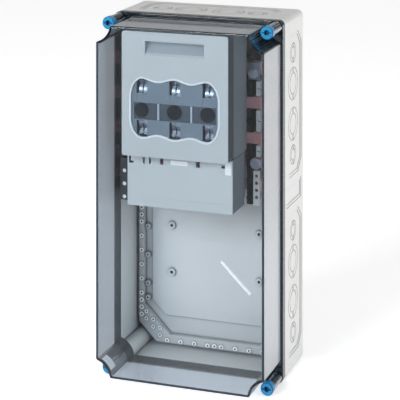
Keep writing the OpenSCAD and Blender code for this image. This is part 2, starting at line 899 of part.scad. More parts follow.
// wavy outline with one lobe per pole; grow makes it larger all round
function window_edge(u, grow) =
    window_reach + grow + wave * (cos(360 * u / pole_pitch) - 1)
    - (end_r + grow) * (1 - sqrt(max(0, 1 - pow(window_over(u, grow), 2))));
function window_over(u, grow) =
    max(0, (abs(u) - (window_half - end_r)) / (end_r + grow));
function window_side(grow, steps = 40) =
    [for (i = [0:steps]) (window_half + grow) * (2 * i / steps - 1)];
function window_outline(grow) = concat(
    [for (u = window_side(grow)) [switch_x + u, window_z - window_edge(u, grow)]],
    [for (u = window_side(grow)) [switch_x - u, window_z + window_edge(u, grow)]]);

module grip_wedge(extra) {
    sideways(switch_x - grip_w / 2, switch_x + grip_w / 2)
        polygon([[-cover_front - extra, grip_bottom], [-cover_front - extra, grip_top],
                 [-cover_front + grip_deep, grip_top], [-cover_front + grip_deep, grip_top - 5],
                 [-cover_front, grip_bottom]]);
}

module handle_cover() {
    x0 = sx0 - 0.4;
    x1 = sx1 + 0.4;
    color([0.80, 0.83, 0.85])
    difference() {
        union() {
            difference() {
                deep(cover_back, cover_front)
                    translate([switch_x, (switch_top + switch_split) / 2])
                        polygon(soft_box(switch_w / 2 + 0.4, (switch_top - switch_split) / 2, 4));
                block(x0 + cover_wall, x1 - cover_wall, cover_back - eps, cover_front - cover_wall,
                      switch_split - eps, switch_top - cover_wall);
            }
            block(x0 + cover_wall + arm_w + 3, x1 - cover_wall - arm_w - 3, cover_back + 4, cover_front - 1,
                  switch_split, switch_split + 2.5);
            deep(cover_front - eps, cover_front + 1.5)
                polygon(window_outline(3));
        }
        deep(cover_back, cover_front + 2)
            polygon(window_outline(0));
        grip_wedge(eps);
        rod(x0 - eps, x0 + 5, pivot_depth, pivot_z, pin_r + pin_gap);
        rod(x1 - 5, x1 + eps, pivot_depth, pivot_z, pin_r + pin_gap);
    }
}

// liner that closes the finger recess from behind
module handle_grip() {
    color([0.70, 0.74, 0.77])
    difference() {
        block(switch_x - grip_w / 2 - 3, switch_x + grip_w / 2 + 3,
              cover_front - grip_deep - 3, cover_front - cover_wall - 0.05, grip_bottom - 3, grip_top + 3);
        grip_wedge(eps);
    }
}

// tinted panel behind the window, with test slots over each contact
module window_panel() {
    color([0.42, 0.50, 0.58])
    difference() {
        deep(panel_front - 4, panel_front)
            polygon(window_outline(4));
        block(switch_x - window_half + 4, switch_x + window_half - 4, panel_front - 2, panel_front + eps,
              window_z - 20, window_z + 8);
        for (p = poles) {
            block(p - slot_half, p + slot_half, panel_front - 5, panel_front + eps, window_z + 23, window_z + 48);
            block(p - slot_half, p + slot_half, panel_front - 1, panel_front + eps, window_z + 9.5, window_z + 20.5);
            block(p - slot_half, p + slot_half, panel_front - 5, panel_front + eps, window_z - 48, window_z - 21.5);
        }
    }
}

// clear pane in front of the panel
module view_window() {
    color([0.75, 0.80, 0.84, 0.3])
    deep(cover_front - 1.6, cover_front - 0.2)
        polygon(window_outline(-0.15));
}

// round cap in the middle of each pole
module pole_caps() {
    color([0.14, 0.19, 0.26])
    for (p = poles) {
        peg(p - 1, window_z - 4.5, 12.3, panel_front - 1.95, panel_front + 0.6);
        peg(p - 1, window_z - 4.5, 9.5, panel_front, panel_front + 1.2);
    }
}

// holders behind the panel that carry the fuses when they are fitted
module fuse_carriers() {
    back = panel_front - 4.05;
    color([0.20, 0.23, 0.27])
    for (p = poles)
        difference() {
            block(p - 20, p + 20, 150, back, window_z - 19, window_z + 12);
            block(p - 16, p + 16, 149, back - 4, window_z - 15, window_z + 8);
        }
}

// small divider posts that show between the poles in the window
module divider_posts() {
    color([0.75, 0.79, 0.82])
    for (s = [-1, 1])
        block(switch_x + s * pole_pitch / 2 - 1.5, switch_x + s * pole_pitch / 2 + 1.5,
              panel_front - 1.95, panel_front + 0.5, window_z - 19.5, window_z + 7.5);
}

// ---------- switch, terminal cover ----------

module terminal_cover() {
    x0 = sx0;
    x1 = sx1;
    wall = 2.5;
    top = switch_split - 1;
    row = switch_split - 12;
    color([0.76, 0.80, 0.83])
    difference() {
        block(x0, x1, 101, terminal_front, switch_bottom, top);
        block(x0 + wall, x1 - wall, 100, terminal_front - wall, switch_bottom - eps, top + eps);
        // test openings along the upper edge
        for (x = [-79, -68])
            block(x - 1.8, x + 1.8, terminal_front - 4, terminal_front + eps, row - 6, row + 5);
        for (x = [-47, 17])
            block(x - 3.2, x + 3.2, terminal_front - 4, terminal_front + eps, row - 5, row + 5);
        block(-105.6, -102, terminal_front - 4, terminal_front + eps, row - 6.5, row + 5);
        block(-102.5, -97.5, terminal_front - 4, terminal_front + eps, row - 6.5, row - 3);
        // slot for the sealing slide
        block(sx1 - 19, sx1 - 5, terminal_front - 4, terminal_front + eps, row - 2.2, row + 2.2);
        // thin break-out line across the lower part
        block(x0 + 16, x1 - 16, terminal_front - 0.6, terminal_front + eps, 0, 0.8);
    }
}

// plain label between the test openings
module blank_label() {
    row = switch_split - 12;
    color([0.95, 0.95, 0.94])
    block(-31, -1, terminal_front + 0.05, terminal_front + 0.8, row - 4, row + 4);
}

// slide at the upper right corner that seals the cover
module seal_slide() {
    row = switch_split - 12;
    color([0.92, 0.93, 0.93])
    union() {
        block(sx1 - 11.5, sx1 - 1, terminal_front + 0.2, terminal_front + 3.6, row - 12, row + 10);
        block(sx1 - 9, sx1 - 5.4, terminal_front - 5, terminal_front + 0.4, row - 1.8, row + 1.8);
    }
}

base_box();
lid();
lid_seal();
fastener_top_left();
fastener_top_right();
fastener_bottom_left();
fastener_bottom_right();
lug_top_left();
lug_top_right();
lug_bottom_left();
lug_bottom_right();
fastener_springs();
busbar_l1();
busbar_l2();
busbar_l3();
neutral_bar();
earth_bar();
busbar_support_left();
busbar_support_right();
support_screws();
support_inserts();
feed_clamp();
bar_washers();
bar_bolts();
terminal_strip();
terminal_strip_screws();
switch_chassis();
pole_partitions();
upper_jaws();
lower_jaws();
jaw_springs();
arc_plates();
feed_bars();
busbar_claws();
outlet_bars();
outlet_bolts();
outlet_washers();
chassis_screws();
signal_block();
signal_screws();
signal_bracket();
pivot_pins();
handle_cover();
handle_grip();
window_panel();
view_window();
pole_caps();
fuse_carriers();
divider_posts();
terminal_cover();
blank_label();
seal_slide();
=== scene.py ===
"""Looks of the fuse box: materials, rounded edges, the clear lid, small parts, light and camera."""

import json
import math

import bmesh
import bpy
from mathutils import Matrix, Vector


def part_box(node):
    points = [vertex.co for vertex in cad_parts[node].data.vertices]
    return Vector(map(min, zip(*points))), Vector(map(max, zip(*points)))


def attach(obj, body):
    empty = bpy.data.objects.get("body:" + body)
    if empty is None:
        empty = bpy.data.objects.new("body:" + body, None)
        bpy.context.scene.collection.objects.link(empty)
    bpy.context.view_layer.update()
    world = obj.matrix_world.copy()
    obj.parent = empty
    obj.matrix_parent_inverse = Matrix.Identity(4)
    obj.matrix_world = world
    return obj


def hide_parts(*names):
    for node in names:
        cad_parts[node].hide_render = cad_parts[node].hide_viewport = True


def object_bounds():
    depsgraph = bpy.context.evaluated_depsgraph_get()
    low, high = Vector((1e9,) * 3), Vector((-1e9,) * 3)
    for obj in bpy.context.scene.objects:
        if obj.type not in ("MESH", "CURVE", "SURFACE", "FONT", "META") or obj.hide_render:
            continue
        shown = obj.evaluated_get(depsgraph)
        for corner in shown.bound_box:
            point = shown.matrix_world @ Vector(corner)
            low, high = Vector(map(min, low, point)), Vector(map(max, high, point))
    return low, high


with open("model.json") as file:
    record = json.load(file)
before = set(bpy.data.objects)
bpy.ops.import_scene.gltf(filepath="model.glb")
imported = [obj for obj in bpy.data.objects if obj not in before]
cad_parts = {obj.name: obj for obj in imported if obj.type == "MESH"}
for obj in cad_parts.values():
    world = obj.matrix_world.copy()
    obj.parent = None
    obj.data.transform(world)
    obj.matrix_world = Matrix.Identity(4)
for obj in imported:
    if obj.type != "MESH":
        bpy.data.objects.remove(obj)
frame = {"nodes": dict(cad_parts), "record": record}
cad_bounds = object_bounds()
NODES = frame["nodes"]
SCENE = bpy.context.scene


# ---------- node trees ----------


def add(tree, kind, inputs=None, **settings):
    """A node with its inputs set to values or linked to sockets."""
    made = tree.nodes.new(kind)
    for key, value in settings.items():
        setattr(made, key, value)
    for key, value in (inputs or {}).items():
        if isinstance(value, bpy.types.NodeSocket):
            tree.links.new(value, made.inputs[key])
        else:
            made.inputs[key].default_value = value
    return made


def axes_of(tree, vector):
    """The X, Y and Z of a vector, by letter."""
    return add(tree, "ShaderNodeSeparateXYZ", {"Vector": vector}).outputs


def noise(tree, point, scale, detail=2.0, rough=0.5):
    return add(
        tree,
        "ShaderNodeTexNoise",
        {"Vector": point, "Scale": scale, "Detail": detail, "Roughness": rough},
    ).outputs["Fac"]


def stretched(tree, point, factors):
    """A point with its axes scaled apart, which draws noise out into lines."""
    return add(
        tree, "ShaderNodeVectorMath", {0: point, 1: factors}, operation="MULTIPLY"
    ).outputs["Vector"]


def remap(tree, value, low, high, to_low=0.0, to_high=1.0):
    return add(
        tree,
        "ShaderNodeMapRange",
        {"Value": value, "From Min": low, "From Max": high, "To Min": to_low, "To Max": to_high},
    ).outputs["Result"]


def blend(tree, share, a, b):
    """Colour a where share is 0 and colour b where it is 1."""
    made = add(tree, "ShaderNodeMix", {"Factor": share}, data_type="RGBA")
    for key, value in ((6, a), (7, b)):
        if isinstance(value, bpy.types.NodeSocket):
            tree.links.new(value, made.inputs[key])
        else:
            made.inputs[key].default_value = value
    return made.outputs[2]


def math_of(tree, kind, a, b=0.0):
    return add(tree, "ShaderNodeMath", {0: a, 1: b}, operation=kind).outputs["Value"]


def product(tree, value, *factors):
    for factor in factors:
        value = math_of(tree, "MULTIPLY", value, factor)
    return value


def largest(tree, value, *others):
    for other in others:
        value = math_of(tree, "MAXIMUM", value, other)
    return value


def unsigned(tree, value):
    return math_of(tree, "ABSOLUTE", value)


def opposite(tree, share):
    return math_of(tree, "SUBTRACT", 1.0, share)


def rgba(colour, factor=1.0):
    return tuple(min(1.0, c * factor) for c in colour) + (1.0,)


def edges_of(tree, radius):
    """1 on edges narrower than radius and 0 on flat faces."""
    round_normal = add(tree, "ShaderNodeBevel", {"Radius": radius}, samples=4).outputs["Normal"]
    plain = add(tree, "ShaderNodeNewGeometry").outputs["Normal"]
    same = add(tree, "ShaderNodeVectorMath", {0: round_normal, 1: plain}, operation="DOT_PRODUCT")
    return remap(tree, same.outputs["Value"], 0.995, 0.85)


def openness(tree, reach, only_local=False):
    """1 where nothing stands within reach and 0 deep in a corner; only_local leaves out other pieces."""
    return add(
        tree, "ShaderNodeAmbientOcclusion", {"Distance": reach}, samples=6, only_local=only_local
    ).outputs["AO"]


def bumps(tree, height, depth, strength):
    """Normals of a surface whose relief follows height, depth metres from 0 to 1."""
    return add(
        tree, "ShaderNodeBump", {"Height": height, "Distance": depth, "Strength": strength}
    ).outputs["Normal"]


def surface(tree, colour, rough, normal, others=None):
    """A surface shader; others holds its further inputs by name."""
    inputs = {"Base Color": colour, "Roughness": rough, "Normal": normal}
    inputs.update(others or {})
    return add(tree, "ShaderNodeBsdfPrincipled", inputs).outputs["BSDF"]


def mixed(tree, share, a, b):
    """Shader a where share is 0 and shader b where it is 1."""
    return add(tree, "ShaderNodeMixShader", {0: share, 1: a, 2: b}).outputs["Shader"]


def new_material(name):
    """An empty material, its node tree and the point on the object that is being shaded."""
    made = bpy.data.materials.new(name)
    made.use_nodes = True
    tree = made.node_tree
    tree.nodes.clear()
    return made, tree, add(tree, "ShaderNodeTexCoord").outputs["Object"]


def close(tree, shader, volume=None):
    out = add(tree, "ShaderNodeOutputMaterial", {"Surface": shader})
    if volume is not None:
        tree.links.new(volume, out.inputs["Volume"])


# ---------- shared places, in metres; depths count forwards from the wall ----------

lid_low, lid_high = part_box("lid")
HALF_W, HALF_H = lid_high.x, lid_high.z
LID_FRONT, LID_BACK = -lid_low.y, -lid_high.y
FLANGE_FRONT = LID_BACK + 0.0138
WALL = 0.003
SIDE_INSET = 0.004
END_INSET = 0.0085
INNER_X = HALF_W - SIDE_INSET - WALL
INNER_Z = HALF_H - END_INSET - WALL
DARK_FOOT_FRONT = LID_BACK + 0.029
RIB_PITCH = 0.0055
DOME_FRONT = 0.0315
DOME_REACH = (0.1395, 0.2895)

fastener_low, fastener_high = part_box("fastener_top_right")
FAST_X = (fastener_low.x + fastener_high.x) / 2
FAST_Z = (fastener_low.z + fastener_high.z) / 2
NOTCH = 0.032
NOTCH_AT = (HALF_W + 0.003, HALF_H - 0.005)

COVER_FRONT = -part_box("handle_cover")[0].y
OUTLET_FRONT = -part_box("terminal_cover")[0].y
PANEL_FRONT = -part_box("window_panel")[0].y


# ---------- kinds of material ----------

DUST = (0.55, 0.53, 0.48)
MILK = (0.555, 0.565, 0.58)
# painted dark for the clear lid: painted reflection on its rounded edges, painted shade at the flange
# and on the ribs
PAINTED_DARK = (0.008, 0.015, 0.022)
# painted highlight on the domes' flat tops
PAINTED_HIGHLIGHT_WHITE = (1.0, 1.0, 0.99)
DEEP_SHADE = (0.20, 0.24, 0.28)
STEP_BLUR = 0.0002


def dome_tops(tree, point, depth, reach_x, reach_z):
    """1 on the flat tops that face the front at a depth, within a half width and a half height."""
    place = axes_of(tree, point)
    facing = axes_of(tree, add(tree, "ShaderNodeNewGeometry").outputs["Normal"])
    off_depth = unsigned(tree, math_of(tree, "ADD", place["Y"], depth))
    return product(
        tree,
        remap(tree, facing["Y"], -0.7, -0.9),
        remap(tree, unsigned(tree, place["X"]), reach_x, reach_x - STEP_BLUR),
        remap(tree, unsigned(tree, place["Z"]), reach_z, reach_z - STEP_BLUR),
        remap(tree, off_depth, 0.0006, 0.0004),
    )


def plastic(
    name,
    colour,
    rough=0.45,
    grain_depth=0.00003,
    edge=1.12,
    dust=0.06,
    mottle=0.05,
    cavity=0.0,
    reach=0.004,
    behind=None,
    proud_highlight=None,
    shade=0.0,
    domes=None,
):
    """Moulded plastic: fine eroded grain, slow colour drift, paler edges that are partly worn and partly
    a painted highlight, and some dust.

    cavity darkens each groove narrower than reach with painted shade, and shade paints shade into the
    deep inside of a box. behind is a depth
    and a colour: the part of the piece that lies nearer the wall than that depth has that colour, a
    painted shade on the parts that lie back from the front.
    proud_highlight is the same for the part in front of a depth, painted paler as a painted highlight.
    domes gives the depth of the screw domes' flat tops and the half width and half height they lie
    within: they are painted almost white, a painted highlight."""
    made, tree, point = new_material(name)
    drift = remap(tree, noise(tree, point, 9.0, 3.0), 0.3, 0.7)
    fine = noise(tree, point, 1500.0, 2.0, 0.6)
    flow = noise(tree, point, 60.0, 4.0, 0.65)
    base = blend(tree, drift, rgba(colour, 1 - mottle), rgba(colour, 1 + mottle))
    base = blend(tree, product(tree, remap(tree, flow, 0.52, 0.8), dust), base, rgba(DUST))
    # paler edges: partly wear, partly a painted highlight
    rubbed_and_highlit = product(tree, edges_of(tree, 0.0008), remap(tree, flow, 0.35, 0.65, 0.25, 0.9))
    base = blend(tree, rubbed_and_highlit, base, rgba(colour, edge))
    # painted shade: the part that lies back from depth is drawn in the darker colour
    if behind:
        depth, second = behind
        far = remap(tree, axes_of(tree, point)["Y"], -depth, STEP_BLUR - depth)
        dark = blend(tree, drift, rgba(second, 0.9), rgba(second, 1.15))
        dark = blend(tree, rubbed_and_highlit, dark, rgba(second, 1.7))
        base = blend(tree, far, base, dark)
    # painted highlight: the raised border in front of depth is painted paler
    if proud_highlight:
        depth, second = proud_highlight
        near = remap(tree, axes_of(tree, point)["Y"], STEP_BLUR - depth, -depth)
        base = blend(tree, near, base, rgba(second))
    if shade:
        deep = remap(tree, openness(tree, 0.11, only_local=True), 0.25, 0.85, shade, 0.0)
        base = blend(tree, deep, base, rgba(tuple(c * s for c, s in zip(colour, DEEP_SHADE))))
    # painted highlight: the domes' flat tops are painted almost white
    if domes:
        base = blend(tree, dome_tops(tree, point, *domes), base, rgba(PAINTED_HIGHLIGHT_WHITE))
    # painted shade in each groove and socket narrower than reach
    if cavity:
        groove_shade = remap(tree, openness(tree, reach), 0.45, 0.95, cavity, 0.0)
        base = blend(tree, groove_shade, base, rgba(colour, 0.18))
    shine = remap(tree, flow, 0.2, 0.8, rough - 0.07, rough + 0.09)
    shine = math_of(tree, "ADD", shine, remap(tree, fine, 0.3, 0.7, -0.03, 0.03))
    close(tree, surface(tree, base, shine, bumps(tree, fine, grain_depth, 0.6), {"IOR": 1.5}))
    return made


def metal(
    name,
    colour,
    rough=0.3,
    brushed=(1.0, 1.0, 1.0),
    stain=None,
    stain_share=0.25,
    edge=1.25,
    metallic=0.9,
):
    """Bare or plated metal with fine drawn lines, uneven shine and some staining."""
    made, tree, point = new_material(name)
    lines = noise(tree, stretched(tree, point, brushed), 900.0, 3.0, 0.7)
    cloud = noise(tree, point, 45.0, 5.0, 0.6)
    base = blend(tree, remap(tree, lines, 0.3, 0.7), rgba(colour, 0.9), rgba(colour, 1.06))
    stained = product(tree, remap(tree, cloud, 0.5, 0.75), stain_share)
    base = blend(tree, stained, base, rgba(stain) if stain else rgba(colour, 0.6))
    # paler edges: partly wear, partly a painted highlight
    base = blend(tree, product(tree, edges_of(tree, 0.0006), 0.6), base, rgba(colour, edge))
    shine = remap(tree, cloud, 0.25, 0.75, rough - 0.08, rough + 0.14)
    close(tree, surface(tree, base, shine, bumps(tree, lines, 0.00002, 0.5), {"Metallic": metallic}))
    return made


def thick_walls(tree, point, waves, smooth, side_haze, painted_dark_share):
    """The smooth shader with milky side walls and with painted dark on its edges, ribs and inner foot:
    painted reflection and painted shade.
    """
    place = axes_of(tree, point)
    off_x, off_z = unsigned(tree, place["X"]), unsigned(tree, place["Z"])
    geometry = add(tree, "ShaderNodeNewGeometry").outputs
    facing = axes_of(tree, geometry["Normal"])
    across, forward, upright = (unsigned(tree, facing[axis]) for axis in "XYZ")
    hollow = product(tree, remap(tree, across, 0.12, 0.25), remap(tree, upright, 0.12, 0.25))

    haze = product(
        tree,
        remap(tree, forward, 0.12, 0.04),
        remap(tree, across, 0.3, 0.9, side_haze * 0.55, side_haze),
        remap(tree, noise(tree, point, 420.0, 3.0, 0.6), 0.2, 0.8, 0.85, 1.1),
        opposite(tree, hollow),
    )
    walls = mixed(tree, haze, smooth, surface(tree, rgba(MILK), 0.35, waves))

    # painted reflection: the rounded edges of the walls are painted dark, as thick clear plastic looks
    # almost black there
    rounded = product(tree, remap(tree, forward, 0.14, 0.3), remap(tree, forward, 0.985, 0.93))
    # painted shade in a band at the flange's front
    joint_shade = remap(tree, place["Y"], -FLANGE_FRONT - 0.0008, -FLANGE_FRONT + 0.0002, 0.0, 0.75)
    # painted shade stripes the wall of each corner hollow along its upright ribs
    along = math_of(tree, "SUBTRACT", off_x, off_z)
    stripe = math_of(tree, "SINE", product(tree, along, 2 * math.pi / RIB_PITCH))
    ribs = product(tree, hollow, remap(tree, stripe, -0.3, 0.3, 0.2, 1.0))
    # seen from inside the box, the foot of each wall gets a painted reflection of the painted dark band
    # at the flange below it
    foot = product(
        tree,
        remap(tree, place["Y"], -DARK_FOOT_FRONT - 0.003, -DARK_FOOT_FRONT),
        opposite(tree, geometry["Backfacing"]),
        remap(tree, off_x, INNER_X + 0.0015, INNER_X + 0.0005),
        remap(tree, off_z, INNER_Z + 0.0015, INNER_Z + 0.0005),
    )
    # all these marks are painted dark: painted shade and painted reflection
    dark = product(tree, largest(tree, rounded, joint_shade, ribs, foot), painted_dark_share)
    return mixed(tree, dark, walls, surface(tree, rgba(PAINTED_DARK), 0.15, waves, {"Specular IOR Level": 0.2}))


def clear(name, tint, absorb=None, density=0.0, wave=0.00004, side_haze=0.0, painted_dark_share=0.0):
    """Tinted see-through plastic that darkens with depth, faintly wavy, with fine scratches.

    side_haze clouds the walls that run towards the viewer, and painted_dark_share paints the rounded
    edges between them and the front dark, a painted reflection, as they look almost black on thick clear
    plastic; it also sets the other painted dark marks on the lid."""
    made, tree, point = new_material(name)
    waves = bumps(tree, noise(tree, point, 14.0, 2.0), wave, 0.4)
    hairs = noise(tree, stretched(tree, point, (220.0, 30.0, 26.0)), 1.0, 6.0, 0.75)
    shine = remap(tree, hairs, 0.62, 0.8, 0.01, 0.03)
    look = surface(tree, rgba(tint), shine, waves, {"IOR": 1.585, "Transmission Weight": 1.0})
    if side_haze or painted_dark_share:
        look = thick_walls(tree, point, waves, look, side_haze, painted_dark_share)
    # scattered light and lamp light pass straight through
    lit = add(tree, "ShaderNodeBsdfTransparent", {"Color": rgba(tint)}).outputs["BSDF"]
    ray = add(tree, "ShaderNodeLightPath").outputs
    look = mixed(tree, ray["Is Shadow Ray"], look, lit)
    look = mixed(tree, ray["Is Diffuse Ray"], look, lit)
    volume = None
    if density:
        depth_tint = {"Color": rgba(absorb), "Density": density}
        volume = add(tree, "ShaderNodeVolumeAbsorption", depth_tint).outputs["Volume"]
    close(tree, look, volume)
    return made


# ---------- modifiers that round the machine-cut edges ----------

SMOOTH_ANGLE = math.radians(32)


def geometry_group(name, build):
    group = bpy.data.node_groups.new(name, "GeometryNodeTree")
    group.interface.new_socket("Geometry", in_out="INPUT", socket_type="NodeSocketGeometry")
    group.interface.new_socket("Geometry", in_out="OUTPUT", socket_type="NodeSocketGeometry")
    start = group.nodes.new("NodeGroupInput").outputs[0]
    end = group.nodes.new("NodeGroupOutput").inputs[0]
    group.links.new(build(group, start), end)
    return group


def joined(group, mesh):
    mesh = add(
        group, "GeometryNodeRemoveAttribute", {"Geometry": mesh, "Name": "custom_normal"}
    ).outputs["Geometry"]
    return add(group, "GeometryNodeMergeByDistance", {"Geometry": mesh, "Distance": 2e-6}).outputs[
        "Geometry"
    ]


def smoothed(group, mesh):
    mesh = add(
        group, "GeometryNodeSetShadeSmooth", {"Geometry": mesh, "Shade Smooth": True}, domain="FACE"
    ).outputs["Geometry"]
    angle = add(group, "GeometryNodeInputMeshEdgeAngle").outputs["Unsigned Angle"]
    sharp = add(
        group, "FunctionNodeCompare", {0: angle, 1: SMOOTH_ANGLE}, operation="GREATER_THAN"
    ).outputs["Result"]
    return add(
        group,
        "GeometryNodeSetShadeSmooth",
        {"Geometry": mesh, "Selection": sharp, "Shade Smooth": False},
        domain="EDGE",
    ).outputs["Geometry"]


JOIN = geometry_group("join_points", joined)
SMOOTH = geometry_group("smooth_by_angle", smoothed)


def shade_smooth(obj, true_flats):
    """Shades curves smoothly; true_flats keeps the flat faces beside them flat, as mirrors need."""
    obj.modifiers.new("smooth", "NODES").node_group = SMOOTH
    if true_flats:
        obj.modifiers.new("flat", "WEIGHTED_NORMAL").keep_sharp = True


def soften(obj, width):
    """Rounds an object's sharp edges to width and shades the rest smoothly."""
    obj.modifiers.new("join", "NODES").node_group = JOIN
    rounding = obj.modifiers.new("round", "BEVEL")
    rounding.width = width
    rounding.segments = 2
    rounding.limit_method = "ANGLE"
    rounding.angle_limit = SMOOTH_ANGLE
    rounding.use_clamp_overlap = True
    shade_smooth(obj, True)


def paint(obj, material):
    obj.data.materials.clear()
    obj.data.materials.append(material)


# ---------- materials ----------

base_grey = plastic(
    "base_grey_look",
    (0.75, 0.755, 0.745),
    0.42,
    dust=0.05,
    mottle=0.02,
    edge=1.1,
    cavity=0.9,
    shade=0.6,
    domes=(DOME_FRONT, *DOME_REACH),
)
lid_clear = clear(
    "clear_lid_look", (0.97, 0.98, 0.99), (0.66, 0.73, 0.79), 170.0, side_haze=0.42, painted_dark_share=0.85
)
pane_clear = clear("window_clear_look", (0.93, 0.95, 0.97), wave=0.00001)
seal_black = plastic("seal_rubber_look", (0.020, 0.022, 0.025), 0.6, dust=0.12, edge=1.6)
blue = plastic(
    "fastener_blue_look",
    (0.016, 0.215, 0.450),
    0.2,
    grain_depth=0.00001,
    edge=1.9,
    dust=0.02,
    mottle=0.12,
    cavity=0.9,
    reach=0.006,
)
lug_steel = metal("lug_steel_look", (0.45, 0.47, 0.50), 0.35)
spring_steel = metal("spring_steel_look", (0.62, 0.63, 0.66), 0.25)
copper = metal(
    "copper_look",
    (0.96, 0.53, 0.54),
    0.42,
    brushed=(0.06, 1.0, 1.0),
    stain=(0.62, 0.28, 0.28),
    stain_share=0.4,
    edge=1.15,
    metallic=0.2,
)
support_black = plastic("support_black_look", (0.026, 0.030, 0.034), 0.5, dust=0.12, edge=2.6)
zinc = metal("zinc_steel_look", (0.78, 0.84, 0.92), 0.3, stain=(0.50, 0.54, 0.60), metallic=0.7)
insert_white = plastic("insert_white_look", (0.96, 0.97, 0.96), 0.5, dust=0.02)
clamp_steel = metal("clamp_steel_look", (0.52, 0.60, 0.70), 0.3)
terminal_red = metal("terminal_red_look", (0.50, 0.22, 0.18), 0.35)
chassis_grey = plastic("chassis_grey_look", (0.16, 0.18, 0.20), 0.5, dust=0.08, edge=1.5)
partition_grey = plastic("partition_grey_look", (0.50, 0.55, 0.60), 0.45)
contact_silver = metal(
    "contact_silver_look", (0.92, 0.92, 0.92), 0.35, stain=(0.55, 0.55, 0.56), metallic=0.35
)
clip_steel = metal(
    "clip_steel_look", (0.38, 0.43, 0.50), 0.36, stain=(0.12, 0.15, 0.19), metallic=0.8
)
arc_steel = metal("arc_steel_look", (0.50, 0.51, 0.53), 0.4)
cover_grey = plastic(
    "cover_grey_look",
    (0.50, 0.53, 0.54),
    0.5,
    mottle=0.02,
    dust=0.04,
    edge=1.12,
    # painted shade on the handle cover's sides
    behind=(COVER_FRONT - 0.0045, (0.055, 0.070, 0.082)),
    # painted highlight on the raised border round the window
    proud_highlight=(COVER_FRONT - 0.0009, (0.74, 0.77, 0.78)),
)
outlet_grey = plastic(
    "outlet_grey_look",
    (0.53, 0.56, 0.57),
    0.5,
    mottle=0.02,
    dust=0.04,
    edge=1.12,
    # painted shade on the terminal cover's sides
    behind=(OUTLET_FRONT - 0.0025, (0.13, 0.15, 0.17)),
)
# painted shade: the finger grip is drawn darker than the cover, as its recess lies in shade
grip_grey = plastic("grip_grey_look", (0.36, 0.40, 0.43), 0.5, mottle=0.02)
panel_tint = plastic(
    "panel_tint_look",
    (0.20, 0.25, 0.29),
    0.35,
    grain_depth=0.00001,
    # painted shade on the window panel's slot walls and sides
    behind=(PANEL_FRONT - 0.0013, (0.055, 0.075, 0.095)),
)
cap_dark = plastic(
    "cap_dark_look", (0.003, 0.007, 0.014), 0.2, grain_depth=0.00001, edge=2.0, dust=0.0
)
carrier_dark = plastic("carrier_dark_look", (0.040, 0.050, 0.065), 0.5, edge=1.8)
label_white = plastic("label_white_look", (0.92, 0.93, 0.93), 0.4, dust=0.02)
slide_white = plastic("slide_white_look", (0.86, 0.88, 0.89), 0.4, dust=0.03)
screw_black = metal("black_screw_look", (0.05, 0.055, 0.06), 0.4, metallic=0.6)

LOOKS = {
    "base_grey": base_grey,
    "clear_lid": lid_clear,
    "seal_rubber": seal_black,
    "fastener_blue": blue,
    "lug_steel": lug_steel,
    "spring_steel": spring_steel,
    "copper": copper,
    "support_black": support_black,
    "zinc_steel": zinc,
    "insert_white": insert_white,
    "clamp_steel": clamp_steel,
    "terminal_red": terminal_red,
    "chassis_grey": chassis_grey,
    "partition_grey": partition_grey,
    "contact_silver": contact_silver,
    "arc_steel": arc_steel,
    "cover_grey": cover_grey,
    "grip_grey": grip_grey,
    "panel_tint": panel_tint,
    "window_clear": pane_clear,
    "cap_dark": cap_dark,
    "carrier_dark": carrier_dark,
    "label_white": label_white,
    "slide_white": slide_white,
}
SLOT_OF = {s["node"]: s["material_slot"] for s in frame["record"]["subparts"]}
USUAL_ROUNDING = 0.0004
ROUNDING = {
    "handle_cover": 0.0007,
    "terminal_cover": 0.0006,
    "handle_grip": 0.0006,
    "base_box": 0.0003,
    "seal_slide": 0.0006,
    "busbar_support_left": 0.0008,
    "busbar_support_right": 0.0008,
}
NO_ROUNDING = {"lid", "fastener_springs", "lid_seal", "view_window"}
OWN_LOOK = {"terminal_cover": outlet_grey, "support_screws": screw_black}
for node_name, part in NODES.items():
    paint(part, OWN_LOOK.get(node_name, LOOKS[SLOT_OF[node_name]]))
    if node_name not in NO_ROUNDING:
        soften(part, ROUNDING.get(node_name, USUAL_ROUNDING))


# ---------- outlines and skins of the drawn pieces ----------


def arc_points(cx, cz, r, start, end, steps):
    return [
        (
            cx + r * math.cos(start + (end - start) * i / steps),
            cz + r * math.sin(start + (end - start) * i / steps),
        )
        for i in range(steps + 1)
    ]


def notched(hx, hz, notch, soft, centre, steps=14, rib=0.0):
    """Outline of a box with a hollow of radius notch at each corner, counter-clockwise.

    soft rounds its lips, and rib is the height of upright ribs on the hollow's wall."""
    mid_x, mid_z = centre
    side = Vector((hx - soft, mid_z - math.sqrt((notch + soft) ** 2 - (hx - soft - mid_x) ** 2)))
    top = Vector((mid_x - math.sqrt((notch + soft) ** 2 - (hz - soft - mid_z) ** 2), hz - soft))
    middle = Vector(centre)
    to_side, to_top = side - middle, top - middle
    a_side = math.atan2(to_side.y, to_side.x)
    a_top = math.atan2(to_top.y, to_top.x)
    a_top -= 2 * math.pi if a_top > 0 else 0
    quarter = arc_points(side.x, side.y, soft, 0, a_side + math.pi, steps // 2)
    hollow = arc_points(mid_x, mid_z, notch, a_side, a_top, steps)[1:-1]
    for i, (x, z) in enumerate(hollow):
        lift = 1 + rib * (i % 2) / notch
        quarter.append((mid_x + (x - mid_x) * lift, mid_z + (z - mid_z) * lift))
    quarter += arc_points(top.x, top.y, soft, a_top + math.pi, math.pi / 2, steps // 2)
    mirrored = [(-x, z) for x, z in reversed(quarter)]
    upper = quarter + mirrored
    return upper + [(-x, -z) for x, z in upper]


def plain_box(hx, hz, r, steps=8):
    """Outline of a box with corners of radius r, counter-clockwise."""
    out = []
    for k, (sx, sz) in enumerate(((1, 1), (-1, 1), (-1, -1), (1, -1))):
        out += arc_points(
            sx * (hx - r), sz * (hz - r), r, k * math.pi / 2, (k + 1) * math.pi / 2, steps
        )
    return out


